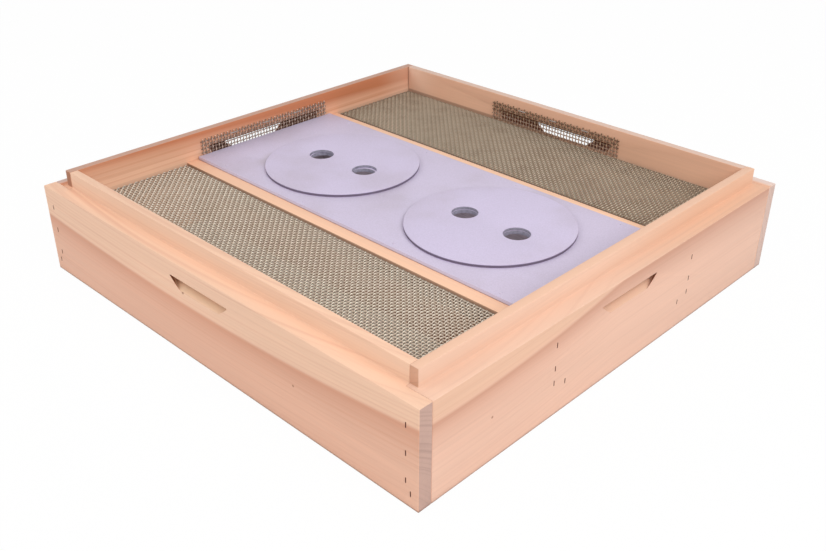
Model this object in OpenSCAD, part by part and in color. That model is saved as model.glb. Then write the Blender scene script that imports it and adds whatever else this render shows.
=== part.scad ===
// Hive top feeder: a shallow wooden box that stands on top of a beehive.
// A drilled sheet on two dividers carries two round turning covers, hardware
// cloth closes the bays on both sides, and each wall has a slanted vent slot.
// Millimetres, +Z up, origin at the middle of the underside.

/* [Box] */
// Outside size along X
box_x = 508; // [440:1:600]
// Outside size along Y
box_y = 508; // [440:1:600]
// Thickness of the boards
board_t = 25.4; // [22:0.1:32]
// Height of the outer ledge that the next box rests on
ledge_h = 91.5; // [85:0.5:130]
// Height of the lip above the ledge
lip_h = 16; // [8:0.5:24]
// Thickness of the lip
lip_t = 8.6; // [6:0.1:12]
// Thickness of the corner tongues on the front and back boards
tongue_t = 13.3; // [8:0.1:16]
// Room round the lip of the box below, in the socket
socket_gap = 1; // [0.5:0.1:2]

/* [Vent slots] */
// Depth of the slot's top edge below the ledge, on the outside
slot_drop = 14.8; // [13:0.1:22]
// Length of the slot's top edge on the outside
slot_l = 80; // [50:1:110]
// Width of the saw cut
slot_kerf = 9.5; // [6:0.1:12]
// Radius of the saw that cuts the slot
saw_r = 101.6; // [90:0.1:125]
// Rise of the slot towards the inside, in degrees
slot_tilt = 27; // [15:1:32]

/* [Dividers] */
// Depth of the divider tops, and of the screens, below the lip's top
well_depth = 29.5; // [22:0.5:38]
// Height of the dividers' undersides above the socket
divider_lift = 3.5; // [2:0.5:10]
// Thickness of the dividers
divider_t = 25.4; // [22:0.1:32]
// Clear width between the dividers
divider_gap = 163.2; // [120:0.1:180]

/* [Sheet] */
// Thickness of the centre sheet
panel_t = 3.8; // [3:0.1:6]
// Seat of the sheet on each divider
panel_seat = 11.4; // [6:0.1:20]
// Gap between the sheet's ends and the side vent screens
panel_gap = 0.6; // [0.2:0.1:3]

/* [Covers] */
// Diameter of a cover
cover_d = 161; // [120:1:170]
// Thickness of a cover
cover_t = 3.4; // [3:0.1:6]
// Distance between the two pivots
cover_pitch = 202; // [180:1:230]
// Diameter of a bee hole
bee_hole_d = 25.4; // [12:0.1:34]
// Distance between the two bee holes of one cover
bee_hole_pitch = 62.6; // [50:0.1:80]
// How far the left cover stands turned from open, in degrees
left_turn = 3; // [0:1:5]

/* [Pivots] */
// Diameter of the peg
peg_d = 8; // [6:0.1:12]
// Width of the peg's square head
peg_head_w = 20; // [16:0.1:24]
// Thickness of the peg's head
peg_head_t = 1.6; // [1:0.1:2]
// Length of the peg below the washer
peg_tail = 2; // [1:0.1:6]
// Running clearance of the peg in the sheet, on the radius
peg_clear = 0.05; // [0.02:0.01:0.1]
// Clearance round and over the head in the cover's recess
head_clear = 0.3; // [0.1:0.1:0.6]
// Diameter of the washer
washer_d = 18; // [14:0.1:24]
// Thickness of the washer
washer_t = 1.2; // [0.8:0.1:2]
// Play between the washer and the sheet
washer_gap = 0.3; // [0.1:0.1:0.6]
// Grip of the washer on the peg, on the radius
washer_grip = 0.05; // [0.02:0.01:0.1]

/* [Screens] */
// Thickness of the hardware cloth
screen_t = 1.4; // [0.8:0.1:2]
// Width of a net strand
strand_w = 2.2; // [1:0.1:4]
// Depth of the turned-down edge of a floor screen
screen_turn = 16; // [14:0.5:24]
// Net gaps along a floor screen
screen_gaps_x = 18; // [8:1:18]
// Net gaps across a floor screen
screen_gaps_y = 5; // [2:1:5]
// Length of a vent screen
vent_screen_l = 176; // [165:1:190]
// Height of a vent screen above the divider tops
vent_screen_h = 22; // [18:0.5:24]
// Net gaps along a vent screen
vent_gaps_l = 14; // [6:1:14]
// Net gaps up a vent screen
vent_gaps_h = 2; // [1:1:2]

/* [Frame staples] */
// Thickness of the frame staples' wire
staple_wire = 1.3; // [0.9:0.1:1.8]
// Width of a frame staple across its legs
staple_crown = 6.4; // [5:0.1:10]
// How far a crown stands proud of the wood
staple_proud = 0.3; // [0.1:0.1:0.6]
// Leg of a corner staple
corner_leg = 32; // [25:1:40]
// Leg of a divider staple
divider_leg = 38; // [35:1:50]
// Depth of the first corner staple below the ledge
corner_top = 19.5; // [10:0.5:25]
// Spacing of the corner staples in their row
corner_step = 24.5; // [18:0.5:26]
// Height of the lowest corner staple, beside the socket
corner_low = 13; // [6:0.5:16]
// Depth of the first divider staple below the divider's top
divider_top = 9; // [6:0.5:12]
// Spacing from the first divider staple to the second
divider_step = 22; // [12:0.5:24]
// Spacing from the second divider staple to the third
divider_step_low = 14; // [10:0.5:16]
// Distance of the divider staple row from the outer face
divider_inset = 7; // [4:0.5:10]
// Height of the single inner divider staple above the divider's underside
divider_low = 8; // [5:0.5:14]
// Distance of the single staple from the inner face
divider_low_inset = 3.5; // [2:0.5:8]

/* [Screen staples and brads] */
// Thickness of the screen staples' wire
tack_wire = 1.2; // [0.8:0.1:1.5]
// Width of a screen staple across its legs
tack_crown = 10; // [8:0.5:12.5]
// Leg of a screen staple
tack_leg = 10; // [6:0.5:14]
// Screen staples along a floor screen's long edge
tacks_long = 5; // [3:1:8]
// Screen staples along a floor screen's short edge
tacks_short = 2; // [1:1:3]
// Distance of the first screen staple from the corner
tack_inset = 30; // [20:1:50]
// Screen staples along a vent screen
tacks_vent = 3; // [2:1:6]
// Distance of the vent staples below the screen's top edge
vent_tack_drop = 4; // [2:0.5:8]
// Distance of the vent staples from the screen's ends
vent_tack_inset = 44; // [10:1:60]
// Head of a brad
brad_head_d = 2.8; // [2:0.1:4]
// Thickness of a brad's head
brad_head_t = 0.6; // [0.4:0.1:1]
// Shank of a brad
brad_d = 1.4; // [1:0.1:2]
// Length of a brad
brad_l = 20; // [16:1:30]
// Brads along each edge of the sheet
brads = 4; // [3:1:6]
// Distance of the end brads from the sheet's ends
brad_end = 41; // [20:1:60]
// Distance of the brads from the sheet's edge
brad_edge = 6; // [3:0.1:8]

/* [Hidden] */
$fn = 96;

// How far a cutting shape runs past the face that it cuts
over = 5;
front = -1;
back = 1;
left = -1;
right = 1;

top_z = ledge_h + lip_h;
slot_z = ledge_h - slot_drop;
deck_z = top_z - well_depth;
inner_x = box_x - 2 * board_t;
inner_y = box_y - 2 * board_t;
ledge_w = board_t - lip_t;
socket_h = lip_h + socket_gap / 2;
socket_x = inner_x + 2 * (lip_t + socket_gap);
socket_y = inner_y + 2 * (lip_t + socket_gap);
side_board_l = box_y - 2 * tongue_t;
// Middle of the end grain that is left beside the socket
socket_wall_mid = (board_t - lip_t - socket_gap) / 2;

divider_y = divider_gap / 2;
divider_outer_y = divider_y + divider_t;
divider_bottom = socket_h + divider_lift;
divider_h = deck_z - divider_bottom;
bay_w = inner_y / 2 - divider_outer_y;
bay_mid_y = (inner_y / 2 + divider_outer_y) / 2;

panel_l = inner_x - 2 * (screen_t + panel_gap);
panel_w = divider_gap + 2 * panel_seat;
panel_top = deck_z + panel_t;
cover_x = cover_pitch / 2;

peg_r = peg_d / 2;
washer_top = deck_z - washer_gap;
peg_bottom = washer_top - washer_t - peg_tail;

// Height of the screen staples, halfway down the turned-down edge
tack_z = deck_z - screen_turn / 2;

wood = [0.94, 0.77, 0.66];
divider_wood = [0.97, 0.8, 0.69];
sheet_grey = [0.82, 0.78, 0.88];
wire_grey = [0.72, 0.67, 0.61];
staple_grey = [0.42, 0.36, 0.33];
peg_grey = [0.55, 0.53, 0.58];

// Outer strip that is milled away above the ledge, all round
module ledge_cut() {
  difference() {
    translate([0, 0, ledge_h + (lip_h + over) / 2])
      cube([box_x + 2 * over, box_y + 2 * over, lip_h + over], center = true);
    translate([0, 0, ledge_h + (lip_h + over) / 2])
      cube([box_x - 2 * ledge_w, box_y - 2 * ledge_w, lip_h + 3 * over], center = true);
  }
}

// Inner strip that is milled away at the bottom, to seat over a lip
module socket_cut() {
  translate([0, 0, (socket_h - over) / 2])
    cube([socket_x, socket_y, socket_h + over], center = true);
}

// Tilted saw disc that cuts the slot in the wall at -Y
module slot_cut(wall) {
  reach = sqrt(saw_r * saw_r - slot_l * slot_l / 4);
  translate([0, reach * cos(slot_tilt) - wall, slot_z + reach * sin(slot_tilt)])
    rotate([slot_tilt, 0, 0])
      translate([0, 0, -slot_kerf])
        cylinder(r = saw_r, h = slot_kerf);
}

// Board across the front or back, with a rabbet at each end
module long_board(side) {
  color(wood)
    rotate([0, 0, side == front ? 0 : 180])
      difference() {
        translate([-box_x / 2, -box_y / 2, 0])
          cube([box_x, board_t, top_z]);
        for (end = [left, right])
          translate([end * (box_x / 2 - board_t / 2 + over / 2), 0, top_z / 2])
            cube([board_t + over, side_board_l, top_z + 2 * over], center = true);
        ledge_cut();
        socket_cut();
        slot_cut(box_y / 2);
      }
}

// Board at the left or right, between the tongues
module side_board(side) {
  color(wood)
    difference() {
      translate([side * (box_x / 2 - board_t / 2), 0, top_z / 2])
        cube([board_t, side_board_l, top_z], center = true);
      ledge_cut();
      socket_cut();
      rotate([0, 0, side * 90]) slot_cut(box_x / 2);
    }
}

module front_board() { long_board(front); }
module back_board() { long_board(back); }
module left_board() { side_board(left); }
module right_board() { side_board(right); }

module divider(side) {
  color(divider_wood)
    translate([0, side * (divider_y + divider_t / 2), deck_z - divider_h / 2])
      cube([inner_x, divider_t, divider_h], center = true);
}

module front_divider() { divider(front); }
module back_divider() { divider(back); }

// The two bee holes of one cover, drilled round its pivot
module bee_holes(z, h) {
  for (end = [left, right])
    translate([end * bee_hole_pitch / 2, 0, z])
      cylinder(d = bee_hole_d, h = h);
}

module centre_panel() {
  color(sheet_grey)
    difference() {
      translate([-panel_l / 2, -panel_w / 2, deck_z])
        cube([panel_l, panel_w, panel_t]);
      for (side = [left, right])
        translate([side * cover_x, 0, 0]) {
          bee_holes(deck_z - over, panel_t + 2 * over);
          translate([0, 0, deck_z - over])
            cylinder(r = peg_r + peg_clear, h = panel_t + 2 * over);
        }
    }
}

// Round cover with its two bee holes and a blind square recess underneath
module cover(side, turn) {
  recess_w = peg_head_w + 2 * head_clear;
  color(sheet_grey)
    translate([side * cover_x, 0, panel_top])
      rotate([0, 0, turn])
        difference() {
          cylinder(d = cover_d, h = cover_t);
          bee_holes(-over, cover_t + 2 * over);
          translate([-recess_w / 2, -recess_w / 2, -over])
            cube([recess_w, recess_w, peg_head_t + head_clear + over]);
        }
}

module left_cover() { cover(left, left_turn); }
module right_cover() { cover(right, 0); }

// Square-headed peg: the head turns with the cover, the shank runs in the sheet
module pivot(side, turn) {
  color(peg_grey)
    translate([side * cover_x, 0, 0])
      rotate([0, 0, turn]) {
        translate([-peg_head_w / 2, -peg_head_w / 2, panel_top])
          cube([peg_head_w, peg_head_w, peg_head_t]);
        translate([0, 0, peg_bottom])
          cylinder(r = peg_r, h = panel_top - peg_bottom);
      }
}

module left_pivot() { pivot(left, left_turn); }
module right_pivot() { pivot(right, 0); }

module pivot_washer(side) {
  color(peg_grey)
    translate([side * cover_x, 0, washer_top - washer_t])
      difference() {
        cylinder(d = washer_d, h = washer_t);
        translate([0, 0, -over])
          cylinder(r = peg_r - washer_grip, h = washer_t + 2 * over);
      }
}

module left_pivot_washer() { pivot_washer(left); }
module right_pivot_washer() { pivot_washer(right); }

// Flat net in the XY plane, from the origin to [l, w], with columns x rows gaps
module net(l, w, columns, rows) {
  step_l = (l - strand_w) / columns;
  step_w = (w - strand_w) / rows;
  linear_extrude(screen_t)
    difference() {
      square([l, w]);
      for (i = [0 : columns - 1], j = [0 : rows - 1])
        translate([strand_w + i * step_l, strand_w + j * step_w])
          square([step_l - strand_w, step_w - strand_w]);
    }
}

// Hardware cloth over one bay, with all four edges turned down
module floor_screen(side) {
  color(wire_grey)
    translate([0, side * bay_mid_y, deck_z]) {
      translate([-inner_x / 2, -bay_w / 2, -screen_t])
        net(inner_x, bay_w, screen_gaps_x, screen_gaps_y);
      translate([0, 0, -screen_turn])
        linear_extrude(screen_turn)
          difference() {
            square([inner_x, bay_w], center = true);
            square([inner_x - 2 * screen_t, bay_w - 2 * screen_t], center = true);
          }
    }
}

module front_screen() { floor_screen(front); }
module back_screen() { floor_screen(back); }

// Strip of hardware cloth on the inner face of the wall at -Y
module vent_screen(wall) {
  color(wire_grey)
    translate([-vent_screen_l / 2, screen_t - wall, deck_z])
      rotate([90, 0, 0])
        net(vent_screen_l, vent_screen_h, vent_gaps_l, vent_gaps_h);
}

module front_vent_screen() { vent_screen(inner_y / 2); }
module back_vent_screen() { rotate([0, 0, 180]) vent_screen(inner_y / 2); }
module left_vent_screen() { rotate([0, 0, -90]) vent_screen(inner_x / 2); }
module right_vent_screen() { rotate([0, 0, 90]) vent_screen(inner_x / 2); }

// Staple driven along +Y, its crown along X and its outer face at y = 0
module staple(crown, leg, wire) {
  translate([-crown / 2, 0, -wire / 2])
    cube([crown, wire, wire]);
  for (end = [left, right])
    translate([end * (crown - wire) / 2 - wire / 2, 0, -wire / 2])
      cube([wire, leg, wire]);
}

// Four staples through a tongue into the end of a side board
module corner_staples(side, end) {
  row_x = box_x / 2 - board_t / 2;
  low_x = box_x / 2 - socket_wall_mid;
  places = [
    for (i = [0 : 2]) [row_x, ledge_h - corner_top - i * corner_step],
    [low_x, corner_low]
  ];
  color(staple_grey)
    mirror([0, side == front ? 0 : 1, 0])
      for (place = places)
        translate([end * place.x, -box_y / 2 - staple_proud, place.y])
          rotate([0, 90, 0])
            staple(staple_crown, corner_leg, staple_wire);
}

module front_left_corner_staples() { corner_staples(front, left); }
module front_right_corner_staples() { corner_staples(front, right); }
module back_left_corner_staples() { corner_staples(back, left); }
module back_right_corner_staples() { corner_staples(back, right); }

// Four staples through a side board into a divider's end
module divider_staples(side, end) {
  row_y = divider_outer_y - divider_inset;
  low_y = divider_y + divider_low_inset;
  drops = [divider_top, divider_top + divider_step, divider_top + divider_step + divider_step_low];
  places = [
    for (drop = drops) [row_y, deck_z - drop],
    [low_y, divider_bottom + divider_low]
  ];
  color(staple_grey)
    mirror([end == right ? 0 : 1, 0, 0])
      for (place = places)
        translate([box_x / 2 + staple_proud, side * place.x, place.y])
          rotate([0, 90, 90])
            staple(staple_crown, divider_leg, staple_wire);
}

module front_divider_left_staples() { divider_staples(front, left); }
module front_divider_right_staples() { divider_staples(front, right); }
module back_divider_left_staples() { divider_staples(back, left); }
module back_divider_right_staples() { divider_staples(back, right); }

// Row of n screen staples along X, between two insets of a length, driven along +Y
module tack_row(length, inset, n) {
  for (i = [0 : n - 1])
    translate([n == 1 ? 0 : inset - length / 2 + i * (length - 2 * inset) / (n - 1), -tack_wire, 0])
      staple(tack_crown, tack_leg, tack_wire);
}

// Staples through the turned-down edges of one floor screen
module floor_screen_staples(side) {
  color(wire_grey)
    translate([0, side * bay_mid_y, tack_z])
      for (turn = [0, 180]) {
        rotate([0, 0, turn])
          translate([0, bay_w / 2 - screen_t, 0])
            tack_row(inner_x, tack_inset, tacks_long);
        rotate([0, 0, turn + 90])
          translate([0, inner_x / 2 - screen_t, 0])
            tack_row(bay_w, tack_inset, tacks_short);
      }
}

module front_screen_staples() { floor_screen_staples(front); }
module back_screen_staples() { floor_screen_staples(back); }

// Staples along the top edge of the vent screen on the wall at +Y
module vent_staples(wall) {
  color(wire_grey)
    translate([0, wall - screen_t, deck_z + vent_screen_h - vent_tack_drop])
      tack_row(vent_screen_l, vent_tack_inset, tacks_vent);
}

module front_vent_staples() { rotate([0, 0, 180]) vent_staples(inner_y / 2); }
module back_vent_staples() { vent_staples(inner_y / 2); }
module left_vent_staples() { rotate([0, 0, 90]) vent_staples(inner_x / 2); }
module right_vent_staples() { rotate([0, 0, -90]) vent_staples(inner_x / 2); }

// Brads through the edges of the sheet into the dividers
module panel_brads() {
  step = (panel_l - 2 * brad_end) / (brads - 1);
  color(staple_grey)
    for (side = [front, back], i = [0 : brads - 1])
      translate([brad_end - panel_l / 2 + i * step, side * (panel_w / 2 - brad_edge), panel_top]) {
        cylinder(d = brad_head_d, h = brad_head_t);
        translate([0, 0, -brad_l])
          cylinder(d = brad_d, h = brad_l);
      }
}

front_board();
back_board();
left_board();
right_board();
front_divider();
back_divider();
centre_panel();
left_cover();
right_cover();
left_pivot();
right_pivot();
left_pivot_washer();
right_pivot_washer();
front_screen();
back_screen();
front_vent_screen();
back_vent_screen();
left_vent_screen();
right_vent_screen();
front_left_corner_staples();
front_right_corner_staples();
back_left_corner_staples();
back_right_corner_staples();
front_divider_left_staples();
front_divider_right_staples();
back_divider_left_staples();
back_divider_right_staples();
front_screen_staples();
back_screen_staples();
front_vent_staples();
back_vent_staples();
left_vent_staples();
right_vent_staples();
panel_brads();
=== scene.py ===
# %% [markdown]
# A hive top feeder, dressed piece by piece.
# The feeder is a shallow wooden box that stands on a bee hive. Its deck has two turning covers over the
# bee holes, wire cloth on both sides of the deck, and a slanted, screened vent slot in each wall.
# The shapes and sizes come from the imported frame, so this lesson only decides how each surface looks.

# %% Load the frame and keep its box
import math
import random

import bmesh
import bpy
from mathutils import Matrix, Vector


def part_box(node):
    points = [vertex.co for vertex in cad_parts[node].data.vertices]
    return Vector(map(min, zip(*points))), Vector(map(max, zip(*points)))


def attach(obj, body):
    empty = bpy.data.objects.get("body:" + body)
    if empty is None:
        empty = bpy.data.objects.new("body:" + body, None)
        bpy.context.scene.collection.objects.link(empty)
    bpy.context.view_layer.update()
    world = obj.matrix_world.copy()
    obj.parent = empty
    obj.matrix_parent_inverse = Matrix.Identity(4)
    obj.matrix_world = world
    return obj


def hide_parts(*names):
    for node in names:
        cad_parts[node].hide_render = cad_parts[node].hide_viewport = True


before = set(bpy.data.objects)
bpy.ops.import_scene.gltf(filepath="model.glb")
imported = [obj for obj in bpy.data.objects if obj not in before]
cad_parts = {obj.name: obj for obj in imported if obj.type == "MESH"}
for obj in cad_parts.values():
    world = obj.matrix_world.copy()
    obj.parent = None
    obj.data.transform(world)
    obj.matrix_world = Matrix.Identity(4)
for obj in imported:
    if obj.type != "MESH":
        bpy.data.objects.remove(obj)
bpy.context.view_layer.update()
scene = bpy.context.scene
scene.view_settings.view_transform = "Standard"
MM = 0.001
print("nodes in the frame:", len(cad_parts))

# %% [markdown]
# The camera stands at the near corner, a little above eye level with the box, so that two outer walls,
# the whole deck and both inner far walls show. Its place was worked out from the box's own corners, so
# it is written as a place, a target and a lens instead of being nudged by eye.

# %% Camera
CAMERA_PLACE = Vector((606.4, -625.3, 486.0)) * MM
CAMERA_TARGET = Vector((2.2, 0.0, -10.6)) * MM
CAMERA_LENS = 42.30
CAMERA_SENSOR = 36.0
CAMERA_ROLL = math.radians(0.26)
NEAREST_SEEN = 0.01

camera = bpy.data.objects.new("camera", bpy.data.cameras.new("camera"))
scene.collection.objects.link(camera)
camera.data.lens = CAMERA_LENS
camera.data.sensor_width = CAMERA_SENSOR
camera.data.sensor_fit = "HORIZONTAL"
camera.data.clip_start = NEAREST_SEEN
facing = (CAMERA_TARGET - CAMERA_PLACE).to_track_quat("-Z", "Y").to_matrix().to_4x4()
camera.matrix_world = Matrix.Translation(CAMERA_PLACE) @ facing @ Matrix.Rotation(CAMERA_ROLL, 4, "Z")
scene.camera = camera
print("camera distance in mm:", round((CAMERA_TARGET - CAMERA_PLACE).length / MM))

# %% [markdown]
# Every material and every Geometry Nodes tree below is wired in code, so a few small helpers come first.
# One adds a node and feeds its inputs, with plain values or with another node's output. The others are
# shorthand for the nodes that turn up most. Colours are written as they are read off a screen, from 0 to
# 255, and turned into the linear values that Blender's sockets expect.

# %% Helpers for wiring nodes
def add(tree, kind, feeds=None, **options):
    """Add a node, a shader node unless its kind says otherwise, then set its options and feed its inputs."""
    node = tree.nodes.new(kind if "Node" in kind else "ShaderNode" + kind)
    for option, value in options.items():
        setattr(node, option, value)
    for key, value in (feeds or {}).items():
        if isinstance(value, bpy.types.NodeSocket):
            tree.links.new(value, node.inputs[key])
        else:
            node.inputs[key].default_value = value
    return node


def calc(tree, operation, *values):
    """A Math node's result."""
    return add(tree, "Math", dict(enumerate(values)), operation=operation).outputs[0]


def product(tree, first, *others):
    """Values multiplied together."""
    for other in others:
        first = calc(tree, "MULTIPLY", first, other)
    return first


def vector_calc(tree, operation, *values):
    """A Vector Math node's vector result."""
    return add(tree, "VectorMath", dict(enumerate(values)), operation=operation).outputs[0]


def split(tree, vector):
    """The X, Y and Z of a vector."""
    return add(tree, "SeparateXYZ", {0: vector}).outputs


def joined(tree, parts):
    """A vector from the parts that are given, by axis, with 0 for the others."""
    return add(tree, "CombineXYZ", parts).outputs[0]


def ramp(tree, value, low, high, most=1.0):
    """0 at low, most at high and a soft change between. Low may be the larger of the two."""
    feeds = {"Value": value, "From Min": low, "From Max": high, "To Max": most}
    return add(tree, "MapRange", feeds, interpolation_type="SMOOTHSTEP").outputs[0]


def noise(tree, vector, scale, detail=2.0, seed=0.0):
    """A Noise Texture's factor, with a fourth coordinate as its seed."""
    feeds = {"Vector": vector, "W": seed, "Scale": scale, "Detail": detail}
    return add(tree, "TexNoise", feeds, noise_dimensions="4D").outputs[0]


def spaced(key):
    """A socket's label from the name of an argument."""
    return key.replace("_", " ").title()


# %% Helpers for colours, groups and materials
def rgb(red, green, blue):
    """A colour read off a screen, as the linear colour that a socket holds."""
    linear = [((c / 255 + 0.055) / 1.055) ** 2.4 if c > 10 else c / 255 / 12.92 for c in (red, green, blue)]
    return (*linear, 1.0)


def mix(tree, factor, first, second, blend="MIX"):
    """Blend two colours. Sockets 6 and 7 are the colour inputs of the Mix node."""
    feeds = {0: factor, 6: first, 7: second}
    return add(tree, "Mix", feeds, data_type="RGBA", blend_type=blend).outputs[2]


def shaded(tree, tone, value):
    """A colour made darker or lighter by a value."""
    grey = add(tree, "CombineColor", dict(enumerate([value] * 3))).outputs[0]
    return mix(tree, 1.0, tone, grey, "MULTIPLY")


def blots(tree, tone, place, spots, core, share, colour):
    """Round blots of a colour. Each fades out from its core to its reach."""
    for spot, reach in spots:
        away = add(tree, "VectorMath", {0: place, 1: spot}, operation="DISTANCE").outputs["Value"]
        tone = mix(tree, ramp(tree, away, reach, core * reach, share), tone, colour)
    return tone


def surface(tree, shader, tone, roughness, height, strength, distance):
    """Feed a shader its colour, its roughness and the height that a Bump node bends the light with."""
    bump = add(tree, "Bump", {"Height": height, "Strength": strength, "Distance": distance})
    for label, value in (("Base Color", tone), ("Roughness", roughness), ("Normal", bump.outputs[0])):
        tree.links.new(value, shader.inputs[label])


FLOAT = "NodeSocketFloat"
VECTOR = "NodeSocketVector"
GEOMETRY = "NodeSocketGeometry"
MATERIAL = "NodeSocketMaterial"
SOCKETS = {float: FLOAT, int: "NodeSocketInt", tuple: VECTOR}


def new_group(name, kind, inputs, outputs):
    """An empty node group. An input comes with its default, or with its socket kind if it has none."""
    tree = bpy.data.node_groups.new(name, kind)
    for label, value in inputs.items():
        socket = SOCKETS.get(type(value), value)
        item = tree.interface.new_socket(label, in_out="INPUT", socket_type=socket)
        if socket != value:
            item.default_value = value
    for label, socket in outputs.items():
        tree.interface.new_socket(label, in_out="OUTPUT", socket_type=socket)
    return tree, tree.nodes.new("NodeGroupInput").outputs, tree.nodes.new("NodeGroupOutput").inputs


def new_material(name):
    """A material with its tree, its Principled shader and its coordinate outputs."""
    material = bpy.data.materials.new(name)
    material.use_nodes = True
    tree = material.node_tree
    return material, tree, tree.nodes["Principled BSDF"], add(tree, "TexCoord").outputs


WHITE = (1.0, 1.0, 1.0, 1.0)
BLACK = (0.0, 0.0, 0.0, 1.0)
print("node helpers ready")

# %% [markdown]
# The feeder stands in a white light tent: no horizon, hardly a shadow, and light from all round that is
# a little stronger from the right and above. A white floor lit hard enough to look white would also light
# the box too hard. So the floor shows white to the camera by itself and lets only a little of its real
# shading through. Inside the footprint it glows dimly instead, like light that has come through the cloth,
# and paler under the deck, where it shows in the bee holes. From below the floor is clear, so that the
# underside can be looked at too.

# %% Floor
FLOOR_SIZE = 12.0
FOOTPRINT_HALF = 0.25
DECK_HALF_WIDTH = 0.080
FLOOR_WHITE_SHARE = 0.97
WHITE_GROUND = rgb(245, 245, 245)
UNDER_CLOTH_GLOW = rgb(120, 110, 99)
UNDER_DECK_GLOW = rgb(190, 188, 196)


def seen_directly(tree):
    """1 for camera, glossy and transmission rays, 0 for the rays that carry soft light."""
    rays = add(tree, "LightPath").outputs
    mirrored = calc(tree, "MAXIMUM", rays["Is Glossy Ray"], rays["Is Transmission Ray"])
    return calc(tree, "MAXIMUM", rays["Is Camera Ray"], mirrored)


def floor_material():
    """Diffuse white that glows white where it is seen, dimly under the box, and is clear from below."""
    material, tree, shader, coords = new_material("white_floor")
    tree.nodes.remove(shader)
    place = split(tree, vector_calc(tree, "ABSOLUTE", coords["Object"]))
    outside = calc(tree, "GREATER_THAN", calc(tree, "MAXIMUM", place[0], place[1]), FOOTPRINT_HALF)
    share = product(tree, seen_directly(tree), FLOOR_WHITE_SHARE)
    share = calc(tree, "MAXIMUM", share, calc(tree, "SUBTRACT", 1.0, outside))
    in_bay = calc(tree, "GREATER_THAN", place[1], DECK_HALF_WIDTH)
    glow_tone = mix(tree, in_bay, UNDER_DECK_GLOW, UNDER_CLOTH_GLOW)
    glow_tone = mix(tree, outside, glow_tone, WHITE)
    paper = add(tree, "BsdfDiffuse", {"Color": WHITE_GROUND}).outputs[0]
    glow = add(tree, "Emission", {"Color": glow_tone}).outputs[0]
    top = add(tree, "MixShader", {0: share, 1: paper, 2: glow}).outputs[0]
    behind = add(tree, "NewGeometry").outputs["Backfacing"]
    clear = add(tree, "BsdfTransparent").outputs[0]
    both_sides = add(tree, "MixShader", {0: behind, 1: top, 2: clear}).outputs[0]
    tree.links.new(both_sides, tree.nodes["Material Output"].inputs["Surface"])
    return material


bpy.ops.mesh.primitive_plane_add(size=FLOOR_SIZE)
floor = bpy.context.object
floor.name = "floor"
floor.data.materials.append(floor_material())
print("floor ready")

# %% World and soft lamps
AMBIENT_STRENGTH = 0.48
TENT_TINT = (1.0, 0.985, 0.97, 1.0)
LAMPS = {
    "key_lamp": {"place": (1.75, -0.35, 1.55), "size": 1.6, "watts": 24.0},
    "top_lamp": {"place": (0.1, 0.2, 2.2), "size": 2.0, "watts": 9.0},
    "left_lamp": {"place": (-1.0, -1.7, 1.2), "size": 1.4, "watts": 11.0},
}
world = bpy.data.worlds.new("light_tent")
world.use_nodes = True
scene.world = world
tent = world.node_tree
tent_light = tent.nodes["Background"]
tent_light.inputs["Color"].default_value = TENT_TINT
tent_feeds = {"Value": seen_directly(tent), "To Min": AMBIENT_STRENGTH, "To Max": 1.0}
strength = add(tent, "MapRange", tent_feeds)
tent.links.new(strength.outputs[0], tent_light.inputs["Strength"])
for lamp_name, lamp in LAMPS.items():
    light = bpy.data.lights.new(lamp_name, "AREA")
    light.shape = "DISK"
    light.size = lamp["size"]
    light.energy = lamp["watts"]
    lamp_object = bpy.data.objects.new(lamp_name, light)
    lamp_object.location = lamp["place"]
    lamp_object.rotation_euler = (-Vector(lamp["place"])).to_track_quat("-Z", "Y").to_euler()
    scene.collection.objects.link(lamp_object)
print("lamps:", list(LAMPS))

# %% [markdown]
# The box is bare softwood, planed and new: pale peach, with straight grain that you see more as a drift of
# tone than as lines. A photograph of planks could be wrapped on, but it would have seams and no end grain.
# So the grain is worked out in space, as it grows: yearly rings round a far pith, with a paler sapwood band
# outside a certain ring. The same rings then run over every face and show as arcs on the ends. All boards
# share the figure as one node group, and each sets where its own sapwood line lies.

# %% Wood figure as a node group
figure_inputs = {
    "Vector": VECTOR, "Face": 0.0, "Sap Line": 0.07, "Sap Width": 0.022, "Slope": 0.0, "Bow": 0.0,
    "Highest": 1.0, "Streak Width": 0.0, "Streak Slope": 0.0, "Streak Fade": 0.014, "Pith Drop": 0.12,
    "Pith Aside": 0.06, "Grain Lines": 300.0, "Sway": 0.006, "Seed": 0.0,
}
figure_outputs = dict.fromkeys(("Sap", "Streak", "Late", "Fibre", "Drift"), FLOAT)
wood_figure, given, made = new_group("wood_figure", "ShaderNodeTree", figure_inputs, figure_outputs)
SAP_EDGE = 0.0028
SAP_FADE = 0.007
SLOW_STRETCH = (2.2, 9.0, 9.0)
FIBRE_STRETCH = (7.0, 520.0, 520.0)
DRIFT_STRETCH = (3.0, 26.0, 26.0)
YEARS_ALONG = 1.4
LATE_ENDS = (0.45, 0.75)


def figure_calc(operation, *values):
    """A Math node in the wood figure."""
    return calc(wood_figure, operation, *values)


def distance(rise, run):
    """The long side of a right-angled triangle."""
    squares = [figure_calc("POWER", side, 2.0) for side in (rise, run)]
    return figure_calc("SQRT", figure_calc("ADD", *squares))


def drawn_out(place, stretch, detail, seed):
    """Noise in the wood figure, drawn out along the grain."""
    return noise(wood_figure, vector_calc(wood_figure, "MULTIPLY", place, stretch), 1.0, detail, seed)


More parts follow.
